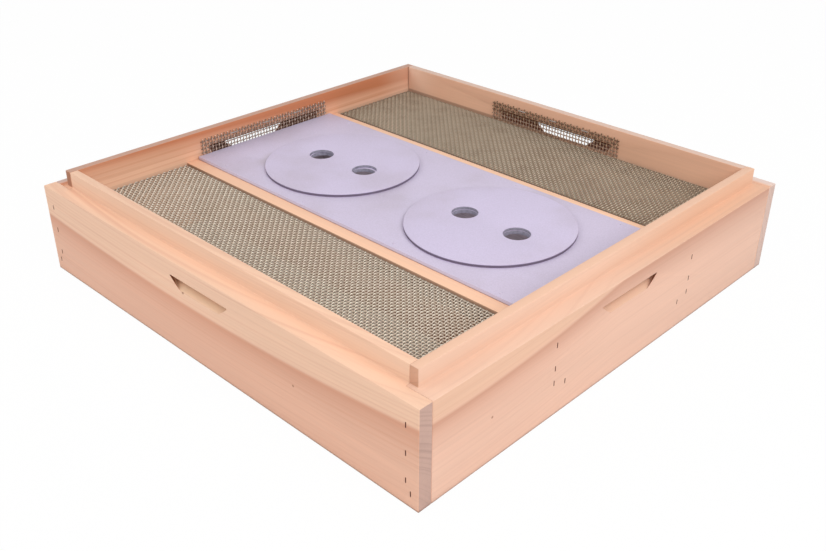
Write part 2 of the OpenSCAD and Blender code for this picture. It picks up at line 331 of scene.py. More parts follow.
grain_at = split(wood_figure, given["Vector"])
slow = figure_calc("SUBTRACT", drawn_out(given["Vector"], SLOW_STRETCH, 2.0, given["Seed"]), 0.5)
bowed = figure_calc("MULTIPLY_ADD", grain_at[0], given["Bow"], given["Slope"])
line = figure_calc("MULTIPLY_ADD", grain_at[0], bowed, given["Sap Line"])
line = figure_calc("SMOOTH_MIN", line, given["Highest"], SAP_EDGE)
height = figure_calc("SUBTRACT", grain_at[2], line)
height = figure_calc("MULTIPLY_ADD", slow, given["Sway"], height)
inward = figure_calc("ABSOLUTE", figure_calc("SUBTRACT", grain_at[1], given["Face"]))
rise = figure_calc("ADD", height, given["Pith Drop"])
from_pith = distance(rise, figure_calc("ADD", inward, given["Pith Aside"]))
depth = figure_calc("SUBTRACT", from_pith, distance(given["Pith Drop"], given["Pith Aside"]))
ring = figure_calc("MULTIPLY", depth, given["Grain Lines"])
year_place = joined(wood_figure, {0: ring, 1: figure_calc("MULTIPLY", grain_at[0], YEARS_ALONG)})
years = noise(wood_figure, year_place, 1.0, 3.0, given["Seed"])
past_line = ramp(wood_figure, depth, -SAP_EDGE, SAP_EDGE)
band_end = figure_calc("ADD", given["Sap Width"], SAP_FADE)
in_band = ramp(wood_figure, depth, band_end, given["Sap Width"])
streak_foot = figure_calc("MULTIPLY_ADD", grain_at[0], given["Streak Slope"], given["Streak Width"])
below = figure_calc("MINIMUM", figure_calc("ADD", depth, streak_foot), 0.0)
fading = figure_calc("EXPONENT", figure_calc("DIVIDE", below, given["Streak Fade"]))
figure_masks = {
    "Sap": product(wood_figure, past_line, in_band),
    "Streak": product(wood_figure, fading, figure_calc("SUBTRACT", 1.0, past_line)),
    "Late": ramp(wood_figure, years, *LATE_ENDS),
    "Fibre": drawn_out(given["Vector"], FIBRE_STRETCH, 3.0, given["Seed"]),
    "Drift": drawn_out(given["Vector"], DRIFT_STRETCH, 3.0, given["Seed"]),
}
for label, mask in figure_masks.items():
    wood_figure.links.new(mask, made[label])
print("wood figure nodes:", len(wood_figure.nodes))

# %% [markdown]
# A board isn't one colour all over. The slanted faces of its vent slot are saw cuts and its ends are plunge
# cuts. Their tones carry painted shade at the ends and deeper in, painted light on the front board's slanted
# faces, and painted shade on those of the back and left boards. Inner faces have painted light towards the
# far corner, painted shade along the foot where the cloth meets them, and a dark joint line where they meet
# the next board. The foot is darker, and under the deck the wood is painted grey, as the shade that shows
# there through the bee holes. Each of these is a mask over the board's own coordinates: place[0] runs along
# the board, place[1] through it and place[2] up, and faces says which way a face looks.

# %% Marks on the boards
BOARD = 0.0254
SKIN = 0.0005
INSIDE = -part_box("left_vent_screen")[0][0]
SLOT_LENGTH = 0.18
SLOT_HEIGHTS = (0.058, 0.0905)
SLOT_ENDS = (0.2, 0.3)
SLOT_SLANT = (0.65, 0.96)
# Painted shade deeper in a vent slot, where its top edge shades the slanted floor.
SLOT_SHADE_DEPTHS = (0.004, 0.0095)
SLOT_SHADE_SHARE = 0.35
# Painted light on an inner face towards the far corner, against the shade that gathers there.
CORNER_LIGHT_RUN = (0.170, 0.2286)
CORNER_PAINTED_LIGHT = rgb(255, 226, 204)
CORNER_LINE = (INSIDE - 0.0020, INSIDE - 0.0008)
# Painted shade along the foot of a face where the cloth meets it, in the same dark as the joint line at the
# corner.
SHADE_AND_JOINT_LINE = rgb(84, 52, 36)
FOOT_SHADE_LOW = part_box("back_screen")[1][2] + 0.0006
FOOT_SHADE_TOP = FOOT_SHADE_LOW + 0.0016
SHADE_LINE_RUN = 0.10
# The upright faces are darker along the very foot.
FOOT_DARK = rgb(134, 98, 86)
FOOT_DARK_HEIGHT = 0.0030
FOOT_DARK_SHARE = 0.75
UPRIGHT = (0.98, 0.85)
UNDER_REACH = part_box("back_divider")[0][1] + SKIN
DECK_FOOT, DECK_TOP = (corner[2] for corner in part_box("centre_panel"))
# Painted shade: the wood under the deck is grey, as the shade that shows there through the bee holes.
UNDER_DECK_SHADE = rgb(172, 160, 164)
TORN_STRETCH = (60.0, 60.0, 520.0)
TORN_SPAN = (1.6, 0.2)


def between(tree, value, low, high):
    """1 where a value lies between two limits, else 0."""
    return calc(tree, "COMPARE", value, (low + high) / 2, (high - low) / 2)


def slot_marks(tree, tone, place, faces, across, sawn_light_shade, slot_shade):
    """Tone the slanted faces and the ends of a vent slot: painted shade at the ends and deeper in, and on the
    slanted faces the tone each board brings, painted light on the front board and painted shade on the back
    and left boards. The second result says where the slot is.
    """
    cut = product(
        tree, between(tree, place[0], -SLOT_LENGTH / 2, SLOT_LENGTH / 2),
        between(tree, place[2], *SLOT_HEIGHTS), between(tree, across, SKIN, BOARD - SKIN),
    )
    tone = mix(tree, product(tree, cut, ramp(tree, faces[0], *SLOT_ENDS)), tone, slot_shade)
    deep_shade = ramp(tree, across, *SLOT_SHADE_DEPTHS, SLOT_SHADE_SHARE)
    slanted = product(tree, between(tree, faces[2], *SLOT_SLANT), cut)
    return mix(tree, slanted, tone, mix(tree, deep_shade, sawn_light_shade, slot_shade)), cut


def corner_marks(tree, tone, place, on_face, shade_and_joint, shade_line_end, corner_light):
    """Paint light on a face towards one end. Paint shade along its foot, where the cloth meets it, and a dark
    joint line at its ends, both up to a given point along the face.
    """
    # Painted light towards the far corner.
    if corner_light:
        towards = product(tree, place[0], math.copysign(1.0, corner_light))
        light_share = product(tree, ramp(tree, towards, *CORNER_LIGHT_RUN, abs(corner_light)), on_face)
        tone = mix(tree, light_share, tone, CORNER_PAINTED_LIGHT)
    # Painted shade along the foot, and a dark joint line at the corner.
    if shade_and_joint:
        foot = ramp(tree, place[2], FOOT_SHADE_TOP, FOOT_SHADE_LOW)
        corner = ramp(tree, calc(tree, "ABSOLUTE", place[0]), *CORNER_LINE)
        reach = ramp(tree, place[0], shade_line_end, shade_line_end - SHADE_LINE_RUN)
        gap = product(tree, calc(tree, "MAXIMUM", foot, corner), shade_and_joint, on_face, reach)
        tone = mix(tree, gap, tone, SHADE_AND_JOINT_LINE)
    return tone


def foot_mark(tree, tone, place, faces):
    """Darken the upright faces along the very foot."""
    mark_share = product(tree, ramp(tree, place[2], FOOT_DARK_HEIGHT, 0.0, FOOT_DARK_SHARE), ramp(tree, faces[2], *UPRIGHT))
    return mix(tree, mark_share, tone, FOOT_DARK)


def under_deck_shade(tree, aside, rise, unturned):
    """Where the wood lies under the deck, and the grey painted shade it gets there, streaked by noise."""
    hidden = product(tree, between(tree, aside, -UNDER_REACH, UNDER_REACH),
                     calc(tree, "LESS_THAN", rise, DECK_FOOT))
    torn = noise(tree, vector_calc(tree, "MULTIPLY", unturned, TORN_STRETCH), 1.0, 3.0)
    deck_shade_tone = shaded(tree, UNDER_DECK_SHADE, calc(tree, "MULTIPLY_ADD", torn, *TORN_SPAN))
    return hidden, deck_shade_tone


print("inner faces in mm from the middle:", round(INSIDE / MM, 1))

# %% [markdown]
# A board's material places the wood figure along the board, then lays the tones over each other: heartwood,
# the pink streak next to the sapwood, the cream sapwood itself, the darker late rings, small knots and the
# fine fibres. Faces that look along the grain are end grain, which drinks in light and looks greyer and
# darker. The top of the lip has a tone of its own, partly its wood and partly painted light and shade, as it
# catches the light at a grazing angle, and the right board's ledge has a tone that changes along it. Every
# board is cut from another plank, so one function makes them all and each board brings its own values.

# %% Timber
LEDGE = 0.0915
LEDGE_RUN = (-0.05, 0.16)
LEVEL = (0.6, 0.9)
END_FACES = (0.75, 0.95)
END_LATE = 0.20
KNOT = rgb(150, 92, 66)
KNOT_SHARE = 0.7
KNOT_CORE = 0.3
DRIFT_SPAN = (0.20, 0.90)
FIBRE_SPAN = (0.14, 0.93)
WOOD_ROUGH = (0.22, 0.50)
WOOD_GLOSS = 0.30
WOOD_RELIEF = (0.25, 0.25 * MM)
LATE_RELIEF = 0.5


def timber(name, along_y, tones, knots=(), late=0.28, shade_and_joint=0.0, shade_line_end=1.0, under=False, ledge=None,
           lip_end=None, lip_top=None, corner_light=0.0, **figure_values):
    """Planed softwood whose grain runs along X, or along Y. Its marks lie on the face given by face."""
    heart, streak, sap, end, sawn_light_shade, slot_shade = (rgb(*tone) for tone in tones)
    material, tree, shader, coords = new_material(name)
    turned, lie = (add(tree, "Mapping", {"Vector": coords[kind]}) for kind in ("Object", "Normal"))
    for mapping in (turned, lie):
        mapping.inputs["Rotation"].default_value[2] = math.radians(-90.0 if along_y else 0.0)
    figure = add(tree, "Group", {"Vector": turned.outputs[0]}, node_tree=wood_figure)
    for key, value in figure_values.items():
        figure.inputs[spaced(key)].default_value = value
    out = figure.outputs
    place = split(tree, turned.outputs[0])
    faces = split(tree, vector_calc(tree, "ABSOLUTE", lie.outputs[0]))
    across = calc(tree, "ABSOLUTE", calc(tree, "SUBTRACT", place[1], figure.inputs["Face"].default_value))
    on_face = calc(tree, "LESS_THAN", across, SKIN)
    tone = mix(tree, out["Sap"], mix(tree, out["Streak"], heart, streak), sap)
    if ledge:
        near, far = (rgb(*end_tone) for end_tone in ledge)
        ledge_tone = mix(tree, ramp(tree, place[0], *LEDGE_RUN), near, far)
        tone = mix(tree, calc(tree, "GREATER_THAN", place[2], LEDGE - SKIN), tone, ledge_tone)
    tone = mix(tree, product(tree, out["Late"], late), tone, streak)
    tone = blots(tree, tone, turned.outputs[0], knots, KNOT_CORE, KNOT_SHARE, KNOT)
    drift = calc(tree, "MULTIPLY_ADD", out["Drift"], *DRIFT_SPAN)
    shade = product(tree, drift, calc(tree, "MULTIPLY_ADD", out["Fibre"], *FIBRE_SPAN))
    tone, cut = slot_marks(tree, shaded(tree, tone, shade), place, faces, across, sawn_light_shade, slot_shade)
    tone = corner_marks(tree, tone, place, on_face, shade_and_joint, shade_line_end, corner_light)
    # The top of the lip: partly its wood, partly painted light and shade at a grazing angle.
    if lip_top:
        on_lip = calc(tree, "GREATER_THAN", place[2], LEDGE + SKIN)
        level = product(tree, ramp(tree, faces[2], *LEVEL), on_lip)
        tone = mix(tree, level, tone, rgb(*lip_top))
    if lip_end:
        end = mix(tree, calc(tree, "GREATER_THAN", place[2], LEDGE), end, rgb(*lip_end))
    end_tone = mix(tree, product(tree, out["Late"], END_LATE), end, BLACK)
    end_mask = product(tree, ramp(tree, faces[0], *END_FACES), calc(tree, "SUBTRACT", 1.0, cut))
    tone = mix(tree, end_mask, tone, shaded(tree, end_tone, shade))
    tone = foot_mark(tree, tone, place, faces)
    # Painted grey shade on the wood under the deck.
    if under:
        hidden, deck_shade_tone = under_deck_shade(tree, place[0 if along_y else 1], place[2], coords["Object"])
        if along_y:
            hidden = product(tree, hidden, on_face)
        tone = mix(tree, hidden, tone, deck_shade_tone)
    shader.inputs["Specular IOR Level"].default_value = WOOD_GLOSS
    roughness = calc(tree, "MULTIPLY_ADD", out["Fibre"], *WOOD_ROUGH)
    relief = calc(tree, "MULTIPLY_ADD", out["Late"], LATE_RELIEF, out["Fibre"])
    surface(tree, shader, tone, roughness, relief, *WOOD_RELIEF)
    return material


# %% The six boards' own tones
# Heartwood, streak, sapwood, end grain, then the slot's slanted faces and its ends, with painted light and
# shade:
# the slanted tone is painted light on PALE and painted shade on SHADY and TAWNY, and the end tone is painted
# shade.
PALE = ((236, 190, 165), (214, 154, 126), (243, 202, 174), (196, 162, 149), (255, 216, 182), (184, 128, 96))
ROSY = ((238, 197, 175), (202, 148, 124), (230, 188, 161), (196, 162, 149), (244, 200, 172), (176, 118, 90))
SHADY = ((240, 194, 164), (230, 180, 150), (236, 212, 202), (217, 188, 176), (142, 86, 62), (142, 86, 62))
TAWNY = ((255, 211, 180), (205, 130, 92), (204, 178, 170), (172, 120, 94), (132, 84, 62), (132, 84, 62))
HONEY = ((247, 203, 172), (236, 184, 152), (247, 203, 172), (196, 162, 149), (236, 188, 158), (236, 188, 158))
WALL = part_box("front_board")[0][1]
FRONT_KNOTS = [((0.120, WALL, 0.0423), 0.0016), ((-0.023, WALL, 0.066), 0.0022)]
RIGHT_KNOTS = [((-0.176, WALL, 0.0419), 0.0016)]
WOODS = {
    "front_board": timber(
        "front_timber", False, PALE, FRONT_KNOTS, late=0.40, sap_line=0.0559, sap_width=0.09,
        slope=0.0258, bow=0.194, grain_lines=420.0, face=WALL, seed=1.0,
    ),
    "right_board": timber(
        "right_timber", True, ROSY, RIGHT_KNOTS, late=0.17, ledge=((237, 197, 173), (235, 188, 158)),
        lip_top=(236, 193, 166), lip_end=(216, 166, 138), sap_line=0.0955, slope=0.211, bow=0.50,
        highest=0.0925, grain_lines=420.0, face=WALL, seed=2.0,
    ),
    "back_board": timber(
        "back_timber", False, SHADY, shade_and_joint=0.42, shade_line_end=0.08, corner_light=-0.55,
        lip_top=(220, 190, 174), sap_line=0.1100, pith_aside=0.12, face=INSIDE, seed=3.0,
    ),
    "left_board": timber(
        "left_timber", True, TAWNY, under=True, shade_and_joint=0.12, corner_light=0.30, lip_top=(194, 154, 136),
        late=0.55, grain_lines=380.0, streak_width=0.0085, streak_slope=0.023, streak_fade=0.0085,
        sap_line=0.1140, pith_aside=0.12, face=INSIDE, seed=4.0,
    ),
    "front_divider": timber(
        "front_divider_timber", False, HONEY, under=True, shade_and_joint=0.55, sap_line=0.120, slope=0.01,
        face=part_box("front_divider")[0][1], seed=5.0,
    ),
    "back_divider": timber(
        "back_divider_timber", False, HONEY, under=True, sap_line=0.120, slope=-0.01, seed=6.0,
    ),
}
print("timber materials:", len(WOODS))

# %% [markdown]
# A sawn board never has a razor edge: the plane and a wipe of sandpaper leave a small round that catches
# the light. The CAD solids are left as they are, and each board is dressed by a copy: its loose triangles
# are merged, flat faces are joined again, and the corners get a narrow bevel.

# %% Dressed copies of the CAD pieces
MERGE_WITHIN = 0.005 * MM
FLAT_WITHIN = math.radians(0.5)
SHARP_ABOVE = math.radians(35.0)
SMOOTH_BELOW = math.radians(38.0)
EDGE_ROUND = 0.7 * MM


def merged(node_name):
    """A CAD node's loose triangles, joined at their corners."""
    shape = bmesh.new()
    shape.from_mesh(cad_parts[node_name].data)
    bmesh.ops.remove_doubles(shape, verts=shape.verts, dist=MERGE_WITHIN)
    return shape


def dressed_copy(node_name, ending, finish, edge_round, segments=2):
    """A merged copy of a CAD node with its sharp edges rounded and a finish of its own."""
    shape = merged(node_name)
    bmesh.ops.dissolve_limit(shape, angle_limit=FLAT_WITHIN, verts=shape.verts, edges=shape.edges)
    sharp = [e for e in shape.edges if e.is_manifold and e.calc_face_angle() > SHARP_ABOVE]
    bmesh.ops.bevel(shape, geom=sharp, offset=edge_round, segments=segments, profile=0.5,
                    affect="EDGES", clamp_overlap=True, miter_outer="ARC")
    bmesh.ops.triangulate(shape, faces=[f for f in shape.faces if len(f.verts) > 4])
    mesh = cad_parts[node_name].data.copy()
    mesh.materials.clear()
    shape.to_mesh(mesh)
    shape.free()
    mesh.shade_smooth()
    mesh.set_sharp_from_angle(angle=SMOOTH_BELOW)
    mesh.materials.append(finish)
    piece = bpy.data.objects.new(node_name + ending, mesh)
    scene.collection.objects.link(piece)
    return piece


def seat(piece, body, slot, *nodes):
    """Hang a piece on the body it rides on and hide the CAD nodes it stands for. Its slot is not used."""
    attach(piece, body)
    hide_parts(*nodes)
    print(piece.name, "faces:", len(piece.data.polygons))


for node_name, wood in WOODS.items():
    piece = dressed_copy(node_name, "_timber", wood, EDGE_ROUND)
    slot = "divider_wood" if "divider" in node_name else "board_wood"
    seat(piece, "box", slot, node_name)

# %% [markdown]
# The deck sheet and both covers are cut from the same grey-lilac board, matte, with a fine mottle and a few
# smudges from rubbing. On the deck, two soft patches of painted shade lie beside the left cover's rim. The
# walls of the holes are rough and painted darker, as their shade, and the cut rims carry a painted shadow
# along their foot and painted light above it. A second node group holds the mottle, because the metal parts
# use it later for their dull patches.

# %% Mottle as a node group
PATCH_ENDS = (0.42, 0.72)
mottle_inputs = {"Vector": VECTOR, "Grain Scale": 900.0, "Patch Scale": 14.0, "Seed": 0.0}
mottle_outputs = dict.fromkeys(("Grain", "Patch"), FLOAT)
mottle, given, made = new_group("mottle", "ShaderNodeTree", mottle_inputs, mottle_outputs)
patches = noise(mottle, given["Vector"], given["Patch Scale"], 4.0, given["Seed"])
mottle.links.new(noise(mottle, given["Vector"], given["Grain Scale"], 2.0, given["Seed"]), made["Grain"])
mottle.links.new(ramp(mottle, patches, *PATCH_ENDS), made["Patch"])
print("mottle nodes:", len(mottle.nodes))

# %% Sheet material
SMUDGE = rgb(180, 167, 178)
SMUDGE_SHARE = 0.36
# Painted shade: soft dark patches on the deck beside the left cover's rim.
SHADE_PATCH = rgb(166, 154, 156)
SHADE_PATCH_SHARE = 0.35
SHADE_PATCH_CORE = 0.2
SHEET_SPAN = (0.30, 0.85)
SHEET_ROUGH = (0.20, 0.46)
SHEET_GLOSS = 0.35
SHEET_RELIEF = (0.20, 0.2 * MM)
# The hole walls: rough grain, painted darker as their shade.
BORE_WALL_SHADE = rgb(156, 153, 170)
BORE_GRAIN = 380.0
BORE_SPAN = (1.2, 0.4)
# Painted light on the upper part of a rim, against the shade on that face.
RIM_PAINTED_LIGHT = rgb(210, 210, 240)
SHADOW_CORE = 0.6
EDGE_FACES = (0.40, 0.15)


def sheet_material(name, face, rim_shade, foot, shadow, seed, shade_patches=()):
    """Matte coloured sheet whose rim has a painted shadow up to a height above its foot and painted light
    above it, and whose hole walls are rough and painted darker, as their shade.
    """
    material, tree, shader, coords = new_material(name)
    spots = add(tree, "Group", {"Vector": coords["Object"], "Seed": seed}, node_tree=mottle).outputs
    tone = mix(tree, product(tree, spots["Patch"], SMUDGE_SHARE), rgb(*face), SMUDGE)
    # Painted shade beside the left cover's rim.
    tone = blots(tree, tone, coords["Object"], shade_patches, SHADE_PATCH_CORE, SHADE_PATCH_SHARE, SHADE_PATCH)
    tone = shaded(tree, tone, calc(tree, "MULTIPLY_ADD", spots["Grain"], *SHEET_SPAN))
    torn_feeds = {"Vector": coords["Object"], "Grain Scale": BORE_GRAIN, "Seed": seed}
    torn = add(tree, "Group", torn_feeds, node_tree=mottle).outputs["Grain"]
    bore_tone = shaded(tree, BORE_WALL_SHADE, calc(tree, "MULTIPLY_ADD", torn, *BORE_SPAN))
    bore = add(tree, "Attribute", attribute_name="bore").outputs["Fac"]
    rise = split(tree, coords["Object"])[2]
    in_shadow = ramp(tree, rise, foot + shadow, foot + SHADOW_CORE * shadow)
    rim_tone = mix(tree, in_shadow, RIM_PAINTED_LIGHT, rgb(*rim_shade))
    edge_tone = mix(tree, bore, rim_tone, bore_tone)
    level = split(tree, vector_calc(tree, "ABSOLUTE", coords["Normal"]))[2]
    on_edge = ramp(tree, level, *EDGE_FACES)
    tone = mix(tree, on_edge, tone, edge_tone)
    shader.inputs["Specular IOR Level"].default_value = SHEET_GLOSS
    roughness = calc(tree, "MULTIPLY_ADD", spots["Grain"], *SHEET_ROUGH)
    surface(tree, shader, tone, roughness, spots["Grain"], *SHEET_RELIEF)
    return material


# %% Deck sheet and covers
SHEET_ROUND = 0.6 * MM
SHEET_SEGMENTS = 3
RIM_SHARE = 0.985
# Painted shadow along the foot of the deck's rim and of the covers' rims.
DECK_RIM_SHADE = (166, 146, 154)
COVER_RIM_SHADE = (114, 102, 121)
COVER_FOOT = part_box("left_cover")[0][2]
DECK_SHADOW = 0.9 * MM
COVER_SHADOW = 3.6 * MM
DECK_SHADE_PATCHES = [((-0.163, -0.050, DECK_TOP), 0.016), ((-0.170, -0.036, DECK_TOP), 0.016)]
deck_sheet = sheet_material("deck_sheet", (206, 196, 219), DECK_RIM_SHADE, DECK_FOOT, DECK_SHADOW, 1.0, DECK_SHADE_PATCHES)
left_sheet = sheet_material("left_cover_sheet", (206, 196, 221), COVER_RIM_SHADE, COVER_FOOT, COVER_SHADOW, 2.0)
right_sheet = sheet_material("right_cover_sheet", (208, 198, 224), COVER_RIM_SHADE, COVER_FOOT, COVER_SHADOW, 3.0)
SHEETS = {
    "centre_panel": ("box", "sheet", deck_sheet),
    "left_cover": ("left_cover", "cover_sheet", left_sheet),
    "right_cover": ("right_cover", "cover_sheet", right_sheet),
}


def mark_bores(piece, is_round):
    """Store 1 on the points inside a sheet's outline, which are the walls of its holes, and 0 on its rim."""
    points = [v.co for v in piece.data.vertices]
    spans = []
    for axis in (0, 1):
        low = min(p[axis] for p in points)
        high = max(p[axis] for p in points)
        spans.append(((low + high) / 2, (high - low) / 2))
    store = piece.data.attributes.new("bore", "FLOAT", "POINT")
    for item, point in zip(store.data, points):
        across = [abs(point[axis] - middle) / half for axis, (middle, half) in enumerate(spans)]
        reach = math.hypot(*across) if is_round else max(across)
        item.value = 1.0 if reach < RIM_SHARE else 0.0


for node_name, (body, slot, finish) in SHEETS.items():
    piece = dressed_copy(node_name, "_sheet", finish, SHEET_ROUND, SHEET_SEGMENTS)
    mark_bores(piece, slot == "cover_sheet")
    seat(piece, body, slot, node_name)

# %% [markdown]
# All the small metal is zinc-coated steel, gone dull. The floor cloth is khaki-grey, with painted shade on
# its outermost meshes, where it bends down. The front one is painted lighter towards its right end, against
# the shade of the right wall; the back one is a darker copy, painted shade, and evener towards the left. The
# vent cloth is browner: a lit copy on the left and right walls, and a shaded copy on the front and back whose
# lowest rows get painted light. The staples in the frame are painted dark brown, as the shade of the holes
# they are sunk in; the ones on the cloth are bright, and the brads are painted like the sheet. One function
# makes them all from the mottle group. An attribute named crest tells it where a woven wire stands high;
# there the tone is painted bright and in the hollows dark, partly wear and partly painted highlight and
# shade.

# %% Dull metal
SCREEN_LOW, SCREEN_HIGH = (Vector(c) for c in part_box("back_screen"))
METAL_GRAIN = 1400.0
METAL_PATCH = 60.0
METAL_RELIEF = (0.15, 0.1 * MM)
WORN_ROUGH = 0.2
CREST_POWER = 1.5
EVEN_CREST = 0.26
EVEN_ENDS = (0.06, -0.10)
RIGHT_LIGHT_ENDS = (-0.05, 0.20)
LIT_FOOT_ENDS = (0.0890, 0.0845)
LIT_FOOT_SHARE = 0.28
EDGE_SHADE = rgb(70, 52, 42)
EDGE_REACH = 4.6 * MM


def cloth_edge(tree, place):
    """1 on the outermost meshes of a floor cloth, where it bends down into the dark, else 0."""
    side = split(tree, vector_calc(tree, "ABSOLUTE", place))[1]
    far = calc(tree, "SUBTRACT", SCREEN_HIGH.y, side)
    near = calc(tree, "SUBTRACT", side, SCREEN_LOW.y)
    left = calc(tree, "ADD", split(tree, place)[0], SCREEN_HIGH.x)
    inside = calc(tree, "MINIMUM", left, calc(tree, "MINIMUM", far, near))
    return ramp(tree, inside, EDGE_REACH, 0.5 * EDGE_REACH)


def dull_metal(name, bright, dark, roughness, metallic, crest_share=0.0, edge_share=0.0, even=0.0, right_light=0.0,
               foot=None):
    """Zinc or steel with dull patches. On woven wire the crests are painted bright and the hollows dark,
    partly as wear and partly as painted highlight and shade.
    """
    material, tree, shader, coords = new_material(name)
    feeds = {"Vector": coords["Object"], "Grain Scale": METAL_GRAIN, "Patch Scale": METAL_PATCH}
    spots = add(tree, "Group", feeds, node_tree=mottle).outputs
    worn = product(tree, calc(tree, "ADD", spots["Grain"], spots["Patch"]), 0.5)
    spot = split(tree, coords["Object"])
    # Painted highlight on the crests and painted shade in the hollows, partly also the wear on a high crest.
    if crest_share:
        crest = add(tree, "Attribute", attribute_name="crest").outputs["Fac"]
        mark_share = calc(tree, "POWER", crest, CREST_POWER)
        if even:
            evened = ramp(tree, spot[0], *EVEN_ENDS, even)
            mark_share = calc(tree, "MULTIPLY_ADD", evened, calc(tree, "SUBTRACT", EVEN_CREST, mark_share), mark_share)
        hollow = product(tree, calc(tree, "SUBTRACT", 1.0, mark_share), crest_share)
        worn = calc(tree, "MULTIPLY_ADD", worn, 1.0 - crest_share, hollow)
    # Painted light towards the right end of the front cloth, against the shade of the right wall.
    if right_light:
        kept = calc(tree, "MULTIPLY_ADD", ramp(tree, spot[0], *RIGHT_LIGHT_ENDS), -right_light, 1.0)
        worn = product(tree, worn, kept)
    tone = mix(tree, worn, rgb(*bright), rgb(*dark))
    # Painted light on the lowest rows of a vent cloth.
    if foot:
        low = ramp(tree, spot[2], *LIT_FOOT_ENDS, LIT_FOOT_SHARE)
        tone = mix(tree, low, tone, rgb(*foot))
    if edge_share:
        dim = product(tree, cloth_edge(tree, coords["Object"]), edge_share)
        tone = mix(tree, dim, tone, EDGE_SHADE)
    shader.inputs["Metallic"].default_value = metallic
    roughness = calc(tree, "MULTIPLY_ADD", worn, WORN_ROUGH, roughness)
    surface(tree, shader, tone, roughness, spots["Grain"], *METAL_RELIEF)
    return material


# The front cloth, painted lighter towards its right end against the shade of the right wall.
FRONT_ZINC = dull_metal("front_cloth_zinc", (255, 250, 236), (190, 164, 141), 0.42, 0.20,
                        crest_share=0.84, edge_share=0.6, right_light=0.20)
# The back cloth: the same zinc as a darker copy, painted shade.
BACK_ZINC = dull_metal("back_cloth_zinc", (244, 232, 210), (136, 113, 92), 0.42, 0.25,
                       crest_share=0.80, edge_share=0.85, even=0.75)
# The vent cloth as a lit copy for the left and right walls and a shaded copy for the front and back: painted
# light and shade.
LIT_VENT = dull_metal("lit_vent_zinc", (246, 222, 204), (92, 62, 46), 0.48, 0.15, crest_share=0.80)
DIM_VENT = dull_metal("dim_vent_zinc", (222, 186, 152), (70, 42, 28), 0.48, 0.15,
                      crest_share=0.88, foot=(232, 196, 176))
BRAD_STEEL = dull_metal("brad_steel", (212, 202, 224), (204, 193, 214), 0.70, 0.0)
# Painted shade: the frame staples are dark brown, as the holes they are sunk in are in shade.
FRAME_STEEL = dull_metal("frame_staple_steel", (92, 42, 26), (66, 28, 17), 0.80, 0.0)
BRIGHT_STEEL = dull_metal("bright_staple_steel", (188, 178, 172), (138, 128, 122), 0.40, 0.60)
print("metals ready")

# %% [markdown]
# Wire cloth is two sets of wires that pass over and under each other. Each wire is a line with a point at
# every crossing, and whether that point goes up or down depends on whether row plus column is odd or even.
# That is a rule, so Geometry Nodes weaves it: copy one line along the other direction, crimp by the rule,
# let it wander a little as hand-cut cloth does, trim the ends, cut out the corners, turn the edges down, and
# give the lines a round section. How the crimp is shared tells cloths apart: at a half both sets bend alike,
# and near nothing one set runs straight while the other winds round it, as on the floor cloth.

# %% Wire cloth tree
# The crest value feeds the painted highlight: at most 0.36 on the warp, up to 1 on the weft's crests.
WARP_CREST = 0.18
WEFT_CREST = 0.5
WANDER_SCALE = 34.0
MESH_OUT = {"Geometry": GEOMETRY}
cloth_inputs = {
    "Geometry": GEOMETRY, "Pitch": 0.0033, "Wire": 0.0007, "Points X": 11, "Points Y": 11, "Crimp": 0.5,
    "Overhang": 0, "Flat X": 1.0, "Flat Y": 1.0, "Trim X": 1.0, "Trim Y": 1.0, "Wander": 0.0004,
    "Turn": (0.0, 0.0, 0.0), "Place": (0.0, 0.0, 0.0), "Finish": MATERIAL,
}
cloth, given, made = new_group("wire_cloth", "GeometryNodeTree", cloth_inputs, MESH_OUT)


def step(tree, kind, options=None, **feeds):
    """A Geometry node's first output. Its inputs are named in small letters."""
    named = {spaced(key): value for key, value in feeds.items()}
    return add(tree, "GeometryNode" + kind, named, **(options or {})).outputs[0]


def together(tree, *shapes):
    """Several shapes as one."""
    join = add(tree, "GeometryNodeJoinGeometry")
    for shape in shapes:
        tree.links.new(shape, join.inputs[0])
    return join.outputs[0]


def wire_points(count, runs_x):
    """A line of points at the pitch, along X or along Y, with its middle at the origin."""
    axis = 0 if runs_x else 1
    start = product(cloth, calc(cloth, "SUBTRACT", count, 1.0), -0.5, given["Pitch"])
    return step(cloth, "MeshLine", count=count, start_location=joined(cloth, {axis: start}),
                offset=joined(cloth, {axis: given["Pitch"]}))


def woven_wires(points_along, points_across, runs_x, light_share):
    """One set of wires, copied across and crimped by the odd and even rule."""
    length = calc(cloth, "ADD", points_along, given["Overhang"])
    wire = step(cloth, "MeshToCurve", mesh=wire_points(length, runs_x))
    copies = step(cloth, "InstanceOnPoints", points=wire_points(points_across, not runs_x), instance=wire)
    wires = step(cloth, "RealizeInstances", geometry=copies)
    at = split(cloth, step(cloth, "InputPosition"))
    cell = calc(cloth, "ROUND", calc(cloth, "DIVIDE", calc(cloth, "ADD", at[0], at[1]), given["Pitch"]))
    up_or_down = calc(cloth, "MULTIPLY_ADD", calc(cloth, "FLOORED_MODULO", cell, 2.0), 2.0, -1.0)
    crimp = product(cloth, up_or_down, calc(cloth, "MULTIPLY", given["Wire"], light_share))
    crimped = step(cloth, "SetPosition", geometry=wires, offset=joined(cloth, {2: crimp}))
    swing = WARP_CREST if runs_x else -WEFT_CREST
    crest = calc(cloth, "MULTIPLY_ADD", up_or_down, swing, abs(swing))
    options = {"data_type": "FLOAT", "domain": "POINT"}
    return step(cloth, "StoreNamedAttribute", options, geometry=crimped, name="crest", value=crest)


